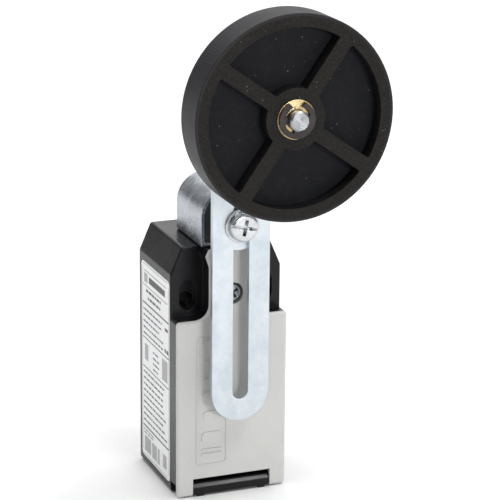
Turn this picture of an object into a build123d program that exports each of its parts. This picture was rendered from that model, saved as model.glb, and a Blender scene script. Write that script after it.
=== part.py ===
from build123d import *
import os

# Limit switch with an adjustable roller lever. Millimetres, +Z up, the lever faces -Y.
# The origin lies on the mounting face, midway between the two fixing holes.

# Housing outline, heights above the underside and depths behind the cover's front face
BODY_WIDTH = 31.0
BODY_DEPTH = 30.8
BODY_HEIGHT = 68.2
CREASE_HEIGHT = 60.8
GABLE_INSET = 3.2
SHOULDER_HEIGHT = 49.2
POCKET_DEPTH = 5.3
COVER_EDGE = 1.0
COVER_ROUNDING = 0.85
NECK_HALF = 6.4
FLARE_HALF = 7.4
FLARE_START = 63.3
FLARE_HEIGHT = 66.3
NECK_TOP_HALF = 6.5
SHOULDER_FILLET = 4.0
CORNER_FILLET = 1.0
REAR_EDGE = 0.35
POCKET_EDGE = 0.5
BACK_WALL = 3.3
CAVITY_HALF = 13.1
CAVITY_FLOOR = 9.0
CAVITY_CEILING = 46.0
FOOT_NOTCH_WIDTH = 2.2
FOOT_NOTCH_DEPTH = 5.2
FOOT_NOTCH_HEIGHT = 3.2

# Interfaces to the outside
FIXING_SPACING = 21.4
FIXING_RADIUS = 2.15
FIXING_HEIGHT = 53.2
FIXING_RECESS_WIDTH = 4.6
FIXING_RECESS_LENGTH = 8.2
FIXING_RECESS_DEPTH = 2.0
ENTRY_RADIUS = 9.19
ENTRY_DEPTH = 15.4
ENTRY_CHAMFER = 0.7

# Cover, hinge and label
NOTCH_HALF = 11.0
NOTCH_HEIGHT = 4.9
NOTCH_DEPTH = 4.6
HINGE_TOP = 3.4
HINGE_BEVEL = 1.1
HINGE_BACK = 4.5
HINGE_LOW = 0.3
NUB_X = 8.7
NUB_HALF = 0.9
NUB_BACK = 3.2
NUB_DROP = 0.3
COVER_SCREW_HEIGHT = 55.9
CUP_OUTER = 4.2
CUP_INNER = 2.95
CUP_FLOOR = 3.6
CUP_DEPTH = 4.9
COVER_SCREW_HEAD = 2.5
COVER_SCREW_FACE = 0.4
COVER_SCREW_SHANK = 1.25
COVER_SCREW_END = 8.9
EMBLEM_X = -5.8
EMBLEM_HEIGHT = 26.6
EMBLEM_WIDTH = 8.8
EMBLEM_LENGTH = 36.3
EMBLEM_CORNER = 1.2
EMBLEM_LINE = 0.5
EMBLEM_RAISE = 0.2
LOOP_CORNER = 2.0
LOOP_INNER_CORNER = 1.2
GROOVE_HALF = 14.7
GROOVE_LOW = 5.9
GROOVE_HIGH = 47.0
GROOVE_WIDTH = 1.0
GROOVE_DEPTH = 1.2
GASKET_PLAY = 0.1
RIM_HALF = 12.8
RIM_LOW = 9.4
RIM_HIGH = 45.6
RIM_WALL = 1.3
RIM_REACH = 2.0
LABEL_FRONT = 6.1
LABEL_BACK = 29.0
LABEL_LOW = 2.2
LABEL_HIGH = 58.6
LABEL_CORNER = 1.4
LABEL_THICK = 0.2
LABEL_SEAT_GAP = 0.15
LABEL_SEAT_DEPTH = 0.25

# Rotary head, shaft and cam
SHAFT_HEIGHT = 76.0
SHAFT_RADIUS = 3.0
HEAD_HALF = 7.8
HEAD_FRONT = 3.0
HEAD_BACK = 22.4
HEAD_GASKET = 0.4
HEAD_GASKET_INSET = 0.35
HEAD_RIM = 0.8
HEAD_RIM_DEPTH = 1.0
HEAD_REAR_FILLET = 0.4
SEAL_BORE = 4.1
CHAMBER_FRONT = 8.2
CHAMBER_BACK = 17.2
CHAMBER_RADIUS = 5.6
STEM_WINDOW_HALF = 3.3
CAP_HOLE = 4.9
SHAFT_CLEARANCE = 0.05
SHAFT_END = 19.6
SEAL_DEPTH = 4.75
SEAL_SECTION = 0.46
CLAMP_BORE = 2.05
CAM_FRONT = 9.6
CAM_BACK = 15.4
CAM_RADIUS = 4.6
CAM_FLAT = 4.0
PLUNGER_DEPTH = 12.5
PLUNGER_RADIUS = 2.5
HEAD_SCREWS = ((-4.6, 8.2), (4.6, 16.8))
HEAD_SCREW_SEAT = 60.0
HEAD_SCREW_WELL = 2.4
HEAD_SCREW_HEAD = 2.2
HEAD_SCREW_UNDER = 58.2
HEAD_SCREW_TOP = 71.4
HEAD_SCREW_SHANK = 1.2

# Lever strip, measured in front of the cover
LEVER_WIDTH = 15.8
LEVER_THICK = 1.5
LEVER_GAP = 4.3
LEVER_LOW = 22.6
SLOT_WIDTH = 4.4
SLOT_LOW = 28.6
SLOT_HIGH = 82.6
JOGGLE_LOW = 87.8
JOGGLE_HIGH = 102.8
BEND_RADIUS = 3.0
UPPER_GAP = 28.5
HUB_RADIUS = 7.3
HUB_BACK = 2.6
COLLAR_RADIUS = 4.4
WASHER_RADIUS = 4.55
WASHER_THICK = 0.7
CLAMP_HEAD = 3.75
CLAMP_FACE = 2.95
CLAMP_ROUNDING = 0.9
CLAMP_SHANK = 1.95
CLAMP_END = 8.4
DRIVE_TURN = -12

# Roller
AXLE_HEIGHT = 111.8
AXLE_RADIUS = 2.5
ROLLER_RADIUS = 25.4
ROLLER_WIDTH = 10.0
ROLLER_GAP = 30.7
RIM_INNER = 22.1
ROLLER_HUB = 7.6
SPOKE_WIDTH = 3.7
SPOKE_ANGLE = 55.0
PANEL_RECESS = 4.1
CLIP_RADIUS = 4.6
CLIP_INNER = 3.3
CLIP_THICK = 0.62
CLIP_MOUTH = 2.0
GROOVE_RADIUS = 1.9
AXLE_PROUD = 3.0
RIVET_RADIUS = 4.0
SPACER_RADIUS = 4.6
BUSH_RADIUS = 3.6
FLANGE_RADIUS = 4.85
FLANGE_PROUD = 0.38

# Contact block
BLOCK_FRONT = 10.5
BLOCK_BACK = 27.2
BLOCK_LOW = 14.0
BLOCK_HIGH = 45.6
BLOCK_HALF = 12.6
BLOCK_SCREW_HEIGHT = 16.2
CHAMBER_FLOOR = 18.5
CHAMBER_WALL = 2.4
TAB_HALF = 5.8
TAB_BACK = 13.6
PLATE_INNER = 4.0
PLATE_OUTER = 12.2
PLATE_FRONT = 0.8
PLATE_MARGIN = 3.0
CLAMP_HALF = 2.7
TERMINAL_FACE = 6.4
TERMINAL_HEAD_BACK = 8.5
CHAMBER_HALF = 6.0
TERMINAL_X = 9.4
UPPER_TERMINAL = 36.6
LOWER_TERMINAL = 22.6
UPPER_TAB = 41.0
LOWER_TAB = 26.0
CARRIER_HALF = 3.0
CARRIER_LOW = 24.0
BRIDGE_HALF = 5.6
BRIDGE_THICK = 0.5
BRIDGE_WIDTH = 3.4
SPRING_COIL = 2.1
SPRING_WIRE = 0.22
SPRING_LOW = 18.55
CONTACT_GAP = 3.0

# A shallow gap between parts that lie against each other
PLAY = 0.05

HALF_WIDTH = BODY_WIDTH / 2
ROLLER_FRONT = ROLLER_GAP + ROLLER_WIDTH
LEVER_FRONT = LEVER_GAP + LEVER_THICK


def level(height):
    """Z of a height above the underside of the housing."""
    return height - FIXING_HEIGHT


def behind(depth):
    """Y of a depth behind the cover's front face."""
    return depth - BODY_DEPTH


def ahead(distance):
    """Y of a distance in front of the cover's front face."""
    return -BODY_DEPTH - distance


def facing(y):
    """Sketch plane that faces the front, drawn in X and Z."""
    return Plane(origin=(0, y, 0), x_dir=(1, 0, 0), z_dir=(0, -1, 0))


def bar_y(radius, y_front, y_back, x=0.0, height=SHAFT_HEIGHT, mode=Mode.ADD):
    """Round bar along Y."""
    with BuildSketch(facing(y_back)) as disc:
        with Locations((x, level(height))):
            Circle(radius)
    extrude(disc.sketch, amount=y_back - y_front, mode=mode)


def bar_z(radius, low, high, x, depth, mode=Mode.ADD):
    """Round bar along Z between two heights."""
    with BuildSketch(Plane.XY.offset(level(low))) as disc:
        with Locations((x, behind(depth))):
            Circle(radius)
    extrude(disc.sketch, amount=high - low, mode=mode)


def block(x_span, y_span, height_span, mode=Mode.ADD):
    """Box given by its X, Y and height limits."""
    middle = (sum(x_span) / 2, sum(y_span) / 2, level(sum(height_span) / 2))
    size = (x_span[1] - x_span[0], y_span[1] - y_span[0], height_span[1] - height_span[0])
    with Locations(middle):
        Box(*size, mode=mode)


def cross_recess(y_face, depth, length, width, height, turn=0.0, x=0.0):
    """Two crossed grooves sunk into a screw head that faces the front."""
    with BuildSketch(facing(y_face + depth)) as grooves:
        with Locations(Location((x, level(height)), turn)):
            Rectangle(length, width)
            Rectangle(width, length)
    extrude(grooves.sketch, amount=depth, mode=Mode.SUBTRACT)


def gable_outline():
    """Full outline of the housing behind the pockets."""
    with BuildSketch(facing(behind(BODY_DEPTH))) as outline:
        with BuildLine():
            Polyline(
                (-HALF_WIDTH, level(0)),
                (-HALF_WIDTH, level(CREASE_HEIGHT)),
                (-HALF_WIDTH + GABLE_INSET, level(BODY_HEIGHT)),
                (HALF_WIDTH - GABLE_INSET, level(BODY_HEIGHT)),
                (HALF_WIDTH, level(CREASE_HEIGHT)),
                (HALF_WIDTH, level(0)),
                close=True,
            )
        make_face()
        fillet(outline.vertices(), radius=CORNER_FILLET)
    return outline.sketch


def neck_outline(y):
    """Front outline: wide below the shoulders, narrow between the two pockets."""
    with BuildSketch(facing(y)) as outline:
        with BuildLine():
            Polyline(
                (-HALF_WIDTH, level(0)),
                (-HALF_WIDTH, level(SHOULDER_HEIGHT)),
                (-NECK_HALF, level(SHOULDER_HEIGHT)),
                (-NECK_HALF, level(FLARE_START)),
                (-FLARE_HALF, level(FLARE_HEIGHT)),
                (-NECK_TOP_HALF, level(BODY_HEIGHT)),
                (NECK_TOP_HALF, level(BODY_HEIGHT)),
                (FLARE_HALF, level(FLARE_HEIGHT)),
                (NECK_HALF, level(FLARE_START)),
                (NECK_HALF, level(SHOULDER_HEIGHT)),
                (HALF_WIDTH, level(SHOULDER_HEIGHT)),
                (HALF_WIDTH, level(0)),
                close=True,
            )
        make_face()
        inner = outline.vertices().filter_by_position(
            Axis.Y, level(SHOULDER_HEIGHT - 1), level(SHOULDER_HEIGHT + 1)
        )
        fillet([v for v in inner if abs(v.X) < HALF_WIDTH - 2], radius=SHOULDER_FILLET)
        corners = [v for v in outline.vertices() if abs(v.X) > HALF_WIDTH - 0.01]
        fillet(corners, radius=CORNER_FILLET)
    return outline.sketch


def head_outline(y, inset=0.0):
    """Half-round arch of the rotary head."""
    half = HEAD_HALF - inset
    low = BODY_HEIGHT + HEAD_GASKET + inset
    with BuildSketch(facing(y)) as arch:
        with Locations((0, level(SHAFT_HEIGHT))):
            Circle(half)
        with Locations((0, level((low + SHAFT_HEIGHT) / 2))):
            Rectangle(2 * half, SHAFT_HEIGHT - low)
        with Locations((0, level(low - half))):
            Rectangle(2 * half, 2 * half, mode=Mode.SUBTRACT)
    return arch.sketch


def fixing_recess():
    """Oblong recess round each fixing hole, sunk into the pocket floor."""
    top_of_recess = FIXING_HEIGHT - FIXING_RADIUS - 0.15 + FIXING_RECESS_LENGTH
    middle = top_of_recess - FIXING_RECESS_LENGTH / 2
    with BuildSketch(facing(behind(POCKET_DEPTH + FIXING_RECESS_DEPTH))) as slots:
        for side in (-1, 1):
            with Locations(Location((side * FIXING_SPACING / 2, level(middle)), 90)):
                SlotOverall(FIXING_RECESS_LENGTH, FIXING_RECESS_WIDTH)
    extrude(slots.sketch, amount=FIXING_RECESS_DEPTH, mode=Mode.SUBTRACT)


def gasket_loop(y, half, low, high, width):
    """Rectangular ring with rounded corners, drawn in X and Z."""
    with BuildSketch(facing(y)) as loop:
        with Locations((0, level((low + high) / 2))):
            RectangleRounded(2 * half, high - low, LOOP_CORNER)
            RectangleRounded(
                2 * (half - width), high - low - 2 * width, LOOP_INNER_CORNER, mode=Mode.SUBTRACT
            )
    return loop.sketch


# Housing: a hollow shell with a solid shoulder section between the cavity and the head
with BuildPart() as body_housing:
    extrude(gable_outline(), amount=BODY_DEPTH - POCKET_DEPTH)
    fillet(body_housing.faces().sort_by(Axis.Y)[0].edges(), radius=POCKET_EDGE)
    fillet(body_housing.faces().sort_by(Axis.Y)[-1].edges(), radius=REAR_EDGE)
    extrude(neck_outline(behind(POCKET_DEPTH + 1.0)), amount=POCKET_DEPTH + 1.0 - COVER_EDGE)
    block(
        (-CAVITY_HALF, CAVITY_HALF),
        (behind(COVER_EDGE), behind(BODY_DEPTH - BACK_WALL)),
        (CAVITY_FLOOR, CAVITY_CEILING),
        Mode.SUBTRACT,
    )
    bar_z(ENTRY_RADIUS, 0, CAVITY_FLOOR, 0, ENTRY_DEPTH, Mode.SUBTRACT)
    bar_z(PLUNGER_RADIUS + 0.08, CAVITY_CEILING, BODY_HEIGHT, 0, PLUNGER_DEPTH, Mode.SUBTRACT)
    for side in (-1, 1):
        bar_y(
            FIXING_RADIUS,
            behind(POCKET_DEPTH),
            behind(BODY_DEPTH),
            side * FIXING_SPACING / 2,
            FIXING_HEIGHT,
            Mode.SUBTRACT,
        )
        block(
            sorted((side * (HALF_WIDTH - FOOT_NOTCH_WIDTH), side * HALF_WIDTH)),
            (behind(COVER_EDGE), behind(FOOT_NOTCH_DEPTH)),
            (0, FOOT_NOTCH_HEIGHT),
            Mode.SUBTRACT,
        )
        bar_y(1.25, behind(27.0), behind(28.9), side * TERMINAL_X, BLOCK_SCREW_HEIGHT, Mode.SUBTRACT)
    fixing_recess()
    for x, depth in HEAD_SCREWS:
        bar_z(HEAD_SCREW_SHANK + 0.1, CAVITY_CEILING, BODY_HEIGHT, x, depth, Mode.SUBTRACT)
        bar_z(HEAD_SCREW_WELL, CAVITY_CEILING, HEAD_SCREW_SEAT, x, depth, Mode.SUBTRACT)
    bar_y(CUP_OUTER + 0.1, behind(COVER_EDGE), behind(CUP_DEPTH + 0.1), 0, COVER_SCREW_HEIGHT,
          Mode.SUBTRACT)
    bar_y(COVER_SCREW_SHANK + PLAY, behind(CUP_DEPTH), behind(COVER_SCREW_END + 0.3), 0,
          COVER_SCREW_HEIGHT, Mode.SUBTRACT)
    block(
        (-NOTCH_HALF, NOTCH_HALF),
        (behind(COVER_EDGE), behind(NOTCH_DEPTH)),
        (0, NOTCH_HEIGHT),
        Mode.SUBTRACT,
    )
    groove = gasket_loop(
        behind(COVER_EDGE + GROOVE_DEPTH), GROOVE_HALF, GROOVE_LOW, GROOVE_HIGH, GROOVE_WIDTH
    )
    extrude(groove, amount=GROOVE_DEPTH, mode=Mode.SUBTRACT)
    with BuildSketch(Plane(origin=(-HALF_WIDTH, 0, 0), x_dir=(0, -1, 0), z_dir=(-1, 0, 0))) as seat:
        with Locations((-behind((LABEL_FRONT + LABEL_BACK) / 2), level((LABEL_LOW + LABEL_HIGH) / 2))):
            RectangleRounded(
                LABEL_BACK - LABEL_FRONT + 2 * LABEL_SEAT_GAP,
                LABEL_HIGH - LABEL_LOW + 2 * LABEL_SEAT_GAP,
                LABEL_CORNER + LABEL_SEAT_GAP,
            )
    extrude(seat.sketch, amount=-LABEL_SEAT_DEPTH, mode=Mode.SUBTRACT)
    mouth = body_housing.edges().filter_by(GeomType.CIRCLE).group_by(Axis.Z)[0]
    chamfer([e for e in mouth if abs(e.radius - ENTRY_RADIUS) < 0.01], length=ENTRY_CHAMFER)
body_housing.part.label = "body_housing"

# Front cover: a thin plate with rounded front edges, a screw cup and a locating rim
with BuildPart() as front_cover:
    extrude(neck_outline(behind(COVER_EDGE)), amount=COVER_EDGE)
    fillet(front_cover.faces().sort_by(Axis.Y)[0].edges(), radius=COVER_ROUNDING)
    bar_y(CUP_OUTER, behind(COVER_EDGE), behind(CUP_DEPTH), 0, COVER_SCREW_HEIGHT)
    bar_y(CUP_INNER, behind(0), behind(CUP_FLOOR), 0, COVER_SCREW_HEIGHT, Mode.SUBTRACT)
    bar_y(1.6, behind(CUP_FLOOR), behind(CUP_DEPTH), 0, COVER_SCREW_HEIGHT, Mode.SUBTRACT)
    rim = gasket_loop(behind(COVER_EDGE + RIM_REACH), RIM_HALF, RIM_LOW, RIM_HIGH, RIM_WALL)
    extrude(rim, amount=RIM_REACH)
    block(
        (-NOTCH_HALF, NOTCH_HALF),
        (behind(-1), behind(COVER_EDGE)),
        (-1, NOTCH_HEIGHT),
        Mode.SUBTRACT,
    )
    with BuildSketch(facing(behind(0))) as frame_lines:
        with Locations((EMBLEM_X, level(EMBLEM_HEIGHT))):
            RectangleRounded(EMBLEM_WIDTH, EMBLEM_LENGTH, EMBLEM_CORNER)
            RectangleRounded(
                EMBLEM_WIDTH - 2 * EMBLEM_LINE,
                EMBLEM_LENGTH - 2 * EMBLEM_LINE,
                EMBLEM_CORNER - 0.4,
                mode=Mode.SUBTRACT,
            )
    extrude(frame_lines.sketch, amount=EMBLEM_RAISE)
front_cover.part.label = "front_cover"

# Rubber gasket in the groove behind the cover
with BuildPart() as cover_gasket:
    ring = gasket_loop(
        behind(COVER_EDGE + GROOVE_DEPTH - GASKET_PLAY),
        GROOVE_HALF - GASKET_PLAY,
        GROOVE_LOW + GASKET_PLAY,
        GROOVE_HIGH - GASKET_PLAY,
        GROOVE_WIDTH - 2 * GASKET_PLAY,
    )
    extrude(ring, amount=GROOVE_DEPTH - GASKET_PLAY - 0.02)
cover_gasket.part.label = "cover_gasket"

# Captive cover screw in its cup
with BuildPart() as cover_screw:
    bar_y(COVER_SCREW_HEAD, behind(COVER_SCREW_FACE), behind(CUP_FLOOR - PLAY), 0, COVER_SCREW_HEIGHT)
    fillet(cover_screw.faces().sort_by(Axis.Y)[0].edges(), radius=0.6)
    bar_y(COVER_SCREW_SHANK, behind(CUP_FLOOR - PLAY), behind(COVER_SCREW_END), 0, COVER_SCREW_HEIGHT)
    cross_recess(behind(COVER_SCREW_FACE), 1.3, 3.4, 0.8, COVER_SCREW_HEIGHT, 35)
cover_screw.part.label = "cover_screw"

# Hinge bar across the foot of the cover
with BuildPart() as hinge_bar:
    block(
        (-NOTCH_HALF + 0.2, NOTCH_HALF - 0.2),
        (behind(0.1), behind(HINGE_BACK)),
        (HINGE_LOW, HINGE_TOP),
    )
    crest = hinge_bar.edges().filter_by(Axis.X).group_by(Axis.Z)[-1].sort_by(Axis.Y)[0]
    chamfer(crest, length=HINGE_BEVEL)
    for side in (-1, 1):
        block(
            (side * NUB_X - NUB_HALF, side * NUB_X + NUB_HALF),
            (behind(0.2), behind(NUB_BACK)),
            (-NUB_DROP, HINGE_LOW + 0.1),
        )
hinge_bar.part.label = "hinge_bar"

# Printed label on the left side
with BuildPart() as side_label:
    with BuildSketch(Plane(origin=(-HALF_WIDTH, 0, 0), x_dir=(0, -1, 0), z_dir=(-1, 0, 0))) as sheet:
        with Locations((-behind((LABEL_FRONT + LABEL_BACK) / 2), level((LABEL_LOW + LABEL_HIGH) / 2))):
            RectangleRounded(LABEL_BACK - LABEL_FRONT, LABEL_HIGH - LABEL_LOW, LABEL_CORNER)
    extrude(sheet.sketch, amount=-LABEL_THICK)
side_label.part.label = "side_label"

# Rotary head: an arch of cast metal with a chamber for the cam
with BuildPart() as head_casing:
    extrude(head_outline(behind(HEAD_BACK)), amount=HEAD_BACK - HEAD_FRONT)
    rear_rim = head_casing.faces().sort_by(Axis.Y)[-1].edges().sort_by(Axis.Z)[1:]
    fillet(rear_rim, radius=HEAD_REAR_FILLET)
    rim_floor = behind(HEAD_FRONT + HEAD_RIM_DEPTH)
    extrude(head_outline(rim_floor, HEAD_RIM), amount=HEAD_RIM_DEPTH, mode=Mode.SUBTRACT)
    bar_y(SEAL_BORE, rim_floor, behind(CHAMBER_FRONT + 0.1), mode=Mode.SUBTRACT)
    bar_y(CHAMBER_RADIUS, behind(CHAMBER_FRONT), behind(CHAMBER_BACK), mode=Mode.SUBTRACT)
    bar_y(SHAFT_RADIUS + SHAFT_CLEARANCE, behind(CHAMBER_BACK - 0.2), behind(SHAFT_END + 0.2),
          mode=Mode.SUBTRACT)
    block(
        (-STEM_WINDOW_HALF, STEM_WINDOW_HALF),
        (behind(9.0), behind(16.0)),
        (BODY_HEIGHT, SHAFT_HEIGHT),
        Mode.SUBTRACT,
    )
    for x, depth in HEAD_SCREWS:
        bar_z(HEAD_SCREW_SHANK + PLAY, BODY_HEIGHT, HEAD_SCREW_TOP + 0.2, x, depth, Mode.SUBTRACT)
head_casing.part.label = "head_casing"

# Gasket under the head
with BuildPart() as head_gasket:
    block(
        (-HEAD_HALF + HEAD_GASKET_INSET, HEAD_HALF - HEAD_GASKET_INSET),
        (behind(HEAD_FRONT + HEAD_GASKET_INSET), behind(HEAD_BACK - HEAD_GASKET_INSET)),
        (BODY_HEIGHT, BODY_HEIGHT + HEAD_GASKET),
    )
    bar_z(PLUNGER_RADIUS + 0.4, 68.0, 69.0, 0, PLUNGER_DEPTH, Mode.SUBTRACT)
    for x, depth in HEAD_SCREWS:
        bar_z(HEAD_SCREW_SHANK + 0.2, 68.0, 69.0, x, depth, Mode.SUBTRACT)
head_gasket.part.label = "head_gasket"

# Dark front cap inside the rim of the head
with BuildPart() as head_cap:
    extrude(head_outline(behind(HEAD_FRONT + 0.95), 0.9), amount=0.6)
    bar_y(CAP_HOLE, behind(2.0), behind(4.0), mode=Mode.SUBTRACT)
head_cap.part.label = "head_cap"

# Lip seal round the shaft
with BuildPart() as shaft_seal:
    seal_centre = (0, behind(SEAL_DEPTH), level(SHAFT_HEIGHT))
    with BuildSketch(Plane(origin=seal_centre, x_dir=(1, 0, 0), z_dir=(0, 0, 1))) as section:
        with Locations((SHAFT_RADIUS + SEAL_SECTION + 0.08, 0)):
            Circle(SEAL_SECTION)
    revolve(section.sketch, axis=Axis(seal_centre, (0, 1, 0)))
shaft_seal.part.label = "shaft_seal"

# Sleeve bearing for the shaft
with BuildPart() as shaft_bush:
    bar_y(SEAL_BORE - 0.06, behind(5.4), behind(CHAMBER_FRONT - PLAY))
    bar_y(SHAFT_RADIUS + SHAFT_CLEARANCE, behind(5.0), behind(9.0), mode=Mode.SUBTRACT)
shaft_bush.part.label = "shaft_bush"


def head_screw(x, depth):
    """Screw that holds the head down from inside the housing."""
    bar_z(HEAD_SCREW_HEAD, HEAD_SCREW_UNDER, HEAD_SCREW_SEAT - PLAY, x, depth)
    bar_z(HEAD_SCREW_SHANK, HEAD_SCREW_SEAT - PLAY, HEAD_SCREW_TOP, x, depth)
    with BuildSketch(Plane.XY.offset(level(HEAD_SCREW_UNDER))) as socket:
        with Locations((x, behind(depth))):
            RegularPolygon(1.1, 6)
    extrude(socket.sketch, amount=1.0, mode=Mode.SUBTRACT)


with BuildPart() as head_screw_front:
    head_screw(*HEAD_SCREWS[0])
head_screw_front.part.label = "head_screw_front"

with BuildPart() as head_screw_rear:
    head_screw(*HEAD_SCREWS[1])
head_screw_rear.part.label = "head_screw_rear"

# Contact block: two columns on a base with the chamber of the moving contacts between
with BuildPart() as contact_block:
    block((-BLOCK_HALF, BLOCK_HALF), (behind(BLOCK_FRONT), behind(BLOCK_BACK)), (BLOCK_LOW, BLOCK_HIGH))
    block(
        (-CHAMBER_HALF, CHAMBER_HALF),
        (behind(BLOCK_FRONT), behind(BLOCK_BACK - CHAMBER_WALL)),
        (CHAMBER_FLOOR, BLOCK_HIGH),
        Mode.SUBTRACT,
    )
    for side in (-1, 1):
        bar_y(1.3, behind(BLOCK_FRONT), behind(BLOCK_BACK), side * TERMINAL_X, BLOCK_SCREW_HEIGHT,
              Mode.SUBTRACT)
        for height in (LOWER_TERMINAL, UPPER_TERMINAL):
            bar_y(1.5, behind(BLOCK_FRONT), behind(17.0), side * TERMINAL_X, height, Mode.SUBTRACT)
        block(
            sorted((side * (BLOCK_HALF - 1.0), side * BLOCK_HALF)),
            (behind(BLOCK_FRONT), behind(BLOCK_FRONT + 3.0)),
            (29.2, 30.6),
            Mode.SUBTRACT,
        )
contact_block.part.label = "contact_block"


def block_screw(side):
    """Screw that holds the contact block against the back wall."""
    x = side * TERMINAL_X
    bar_y(2.2, behind(8.7), behind(BLOCK_FRONT - PLAY), x, BLOCK_SCREW_HEIGHT)
    bar_y(1.2, behind(BLOCK_FRONT - PLAY), behind(28.7), x, BLOCK_SCREW_HEIGHT)
    cross_recess(behind(8.7), 0.9, 2.8, 0.6, BLOCK_SCREW_HEIGHT, 10, x)


with BuildPart() as block_screw_left:
    block_screw(-1)
block_screw_left.part.label = "block_screw_left"

with BuildPart() as block_screw_right:
    block_screw(1)
block_screw_right.part.label = "block_screw_right"


def terminal(side, screw_height, tab_height):
    """Fixed contact: a plate under the terminal screw with a tab into the chamber."""
    low = min(screw_height, tab_height) - PLATE_MARGIN
    high = max(screw_height + PLATE_MARGIN, tab_height + PLATE_FRONT)
    block(
        sorted((side * PLATE_INNER, side * PLATE_OUTER)),
        (behind(BLOCK_FRONT - PLATE_FRONT), behind(BLOCK_FRONT - PLAY)),
        (low, high),
    )
    block(
        sorted((side * PLATE_INNER, side * TAB_HALF)),
        (behind(BLOCK_FRONT - PLATE_FRONT), behind(TAB_BACK)),
        (tab_height, tab_height + PLATE_FRONT),
    )
    bar_y(1.5, behind(9.0), behind(11.0), side * TERMINAL_X, screw_height, Mode.SUBTRACT)


with BuildPart() as terminal_upper_left:
    terminal(-1, UPPER_TERMINAL, UPPER_TAB)
terminal_upper_left.part.label = "terminal_upper_left"

with BuildPart() as terminal_upper_right:
    terminal(1, UPPER_TERMINAL, UPPER_TAB)
terminal_upper_right.part.label = "terminal_upper_right"

with BuildPart() as terminal_lower_left:
    terminal(-1, LOWER_TERMINAL, LOWER_TAB)
terminal_lower_left.part.label = "terminal_lower_left"

with BuildPart() as terminal_lower_right:
    terminal(1, LOWER_TERMINAL, LOWER_TAB)
terminal_lower_right.part.label = "terminal_lower_right"


def terminal_screw(side, height):
    """Terminal screw with its square wire clamp."""
    x = side * TERMINAL_X
    clamp_back = behind(BLOCK_FRONT - PLATE_FRONT - PLAY)
    bar_y(2.5, behind(TERMINAL_FACE), behind(TERMINAL_HEAD_BACK), x, height)
    block(
        (x - CLAMP_HALF, x + CLAMP_HALF),
        (behind(TERMINAL_HEAD_BACK), clamp_back),
        (height - CLAMP_HALF, height + CLAMP_HALF),
    )
    bar_y(1.4, clamp_back, behind(16.6), x, height)
    cross_recess(behind(TERMINAL_FACE), 1.1, 3.4, 0.7, height, 35, x)


with BuildPart() as screw_upper_left:
    terminal_screw(-1, UPPER_TERMINAL)
screw_upper_left.part.label = "screw_upper_left"

with BuildPart() as screw_upper_right:
    terminal_screw(1, UPPER_TERMINAL)
screw_upper_right.part.label = "screw_upper_right"

with BuildPart() as screw_lower_left:
    terminal_screw(-1, LOWER_TERMINAL)
screw_lower_left.part.label = "screw_lower_left"

with BuildPart() as screw_lower_right:
    terminal_screw(1, LOWER_TERMINAL)
screw_lower_right.part.label = "screw_lower_right"

# Plunger: a round stem above a square carrier for the two contact bridges
PLUNGER_TOP = SHAFT_HEIGHT - CAM_RADIUS - 0.2
UPPER_BRIDGE = UPPER_TAB - 0.1 - BRIDGE_THICK
LOWER_BRIDGE = LOWER_TAB + PLATE_FRONT + CONTACT_GAP

with BuildPart() as plunger:
    bar_z(PLUNGER_RADIUS, 45.0, PLUNGER_TOP, 0, PLUNGER_DEPTH)
    fillet(plunger.faces().sort_by(Axis.Z)[-1].edges(), radius=0.8)
    block(
        (-CARRIER_HALF, CARRIER_HALF),
        (behind(PLUNGER_DEPTH - 2.8), behind(PLUNGER_DEPTH + 2.8)),
        (CARRIER_LOW, 45.4),
    )
    for height in (LOWER_BRIDGE, UPPER_BRIDGE):
        block(
            (-CARRIER_HALF, CARRIER_HALF),
            (behind(PLUNGER_DEPTH - 1.75), behind(PLUNGER_DEPTH + 1.75)),
            (height - PLAY, height + BRIDGE_THICK + PLAY),
            Mode.SUBTRACT,
        )
plunger.part.label = "plunger"


def bridge(height):
    """Moving contact strip with rounded ends."""
    with BuildSketch(Plane.XY.offset(level(height))) as strip:
        with Locations((0, behind(PLUNGER_DEPTH))):
            RectangleRounded(2 * BRIDGE_HALF, BRIDGE_WIDTH, 0.8)
    extrude(strip.sketch, amount=BRIDGE_THICK)


with BuildPart() as bridge_upper:
    bridge(UPPER_BRIDGE)
bridge_upper.part.label = "bridge_upper"

with BuildPart() as bridge_lower:
    bridge(LOWER_BRIDGE)
bridge_lower.part.label = "bridge_lower"

# Compression spring under the carrier
SPRING_HIGH = CARRIER_LOW - 0.03
with BuildPart() as plunger_spring:
    with BuildLine():
        coil = Helix(
            pitch=(SPRING_HIGH - SPRING_LOW - 2 * SPRING_WIRE) / 5,
            height=SPRING_HIGH - SPRING_LOW - 2 * SPRING_WIRE,
            radius=SPRING_COIL,
            center=(0, behind(PLUNGER_DEPTH), level(SPRING_LOW + SPRING_WIRE)),
        )
    with BuildSketch(Plane(origin=coil @ 0, z_dir=coil % 0)):
        Circle(SPRING_WIRE)
    sweep()
plunger_spring.part.label = "plunger_spring"

# Shaft through the head, tapped at the front for the clamp screw
with BuildPart() as shaft:
    bar_y(SHAFT_RADIUS, ahead(LEVER_GAP - 0.06), behind(SHAFT_END))
    bar_y(CLAMP_BORE, ahead(LEVER_GAP), behind(9.0), mode=Mode.SUBTRACT)
shaft.part.label = "shaft"

# Serrated hub disc behind the lever, with its collar towards the head
with BuildPart() as hub_disc:
    bar_y(HUB_RADIUS, ahead(LEVER_GAP - PLAY), ahead(HUB_BACK))
    chamfer(hub_disc.edges().filter_by(GeomType.CIRCLE), length=0.25)
    bar_y(COLLAR_RADIUS, ahead(HUB_BACK), behind(HEAD_FRONT - 0.25))
    bar_y(SHAFT_RADIUS + 0.03, ahead(5.0), behind(4.0), mode=Mode.SUBTRACT)
hub_disc.part.label = "hub_disc"

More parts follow.
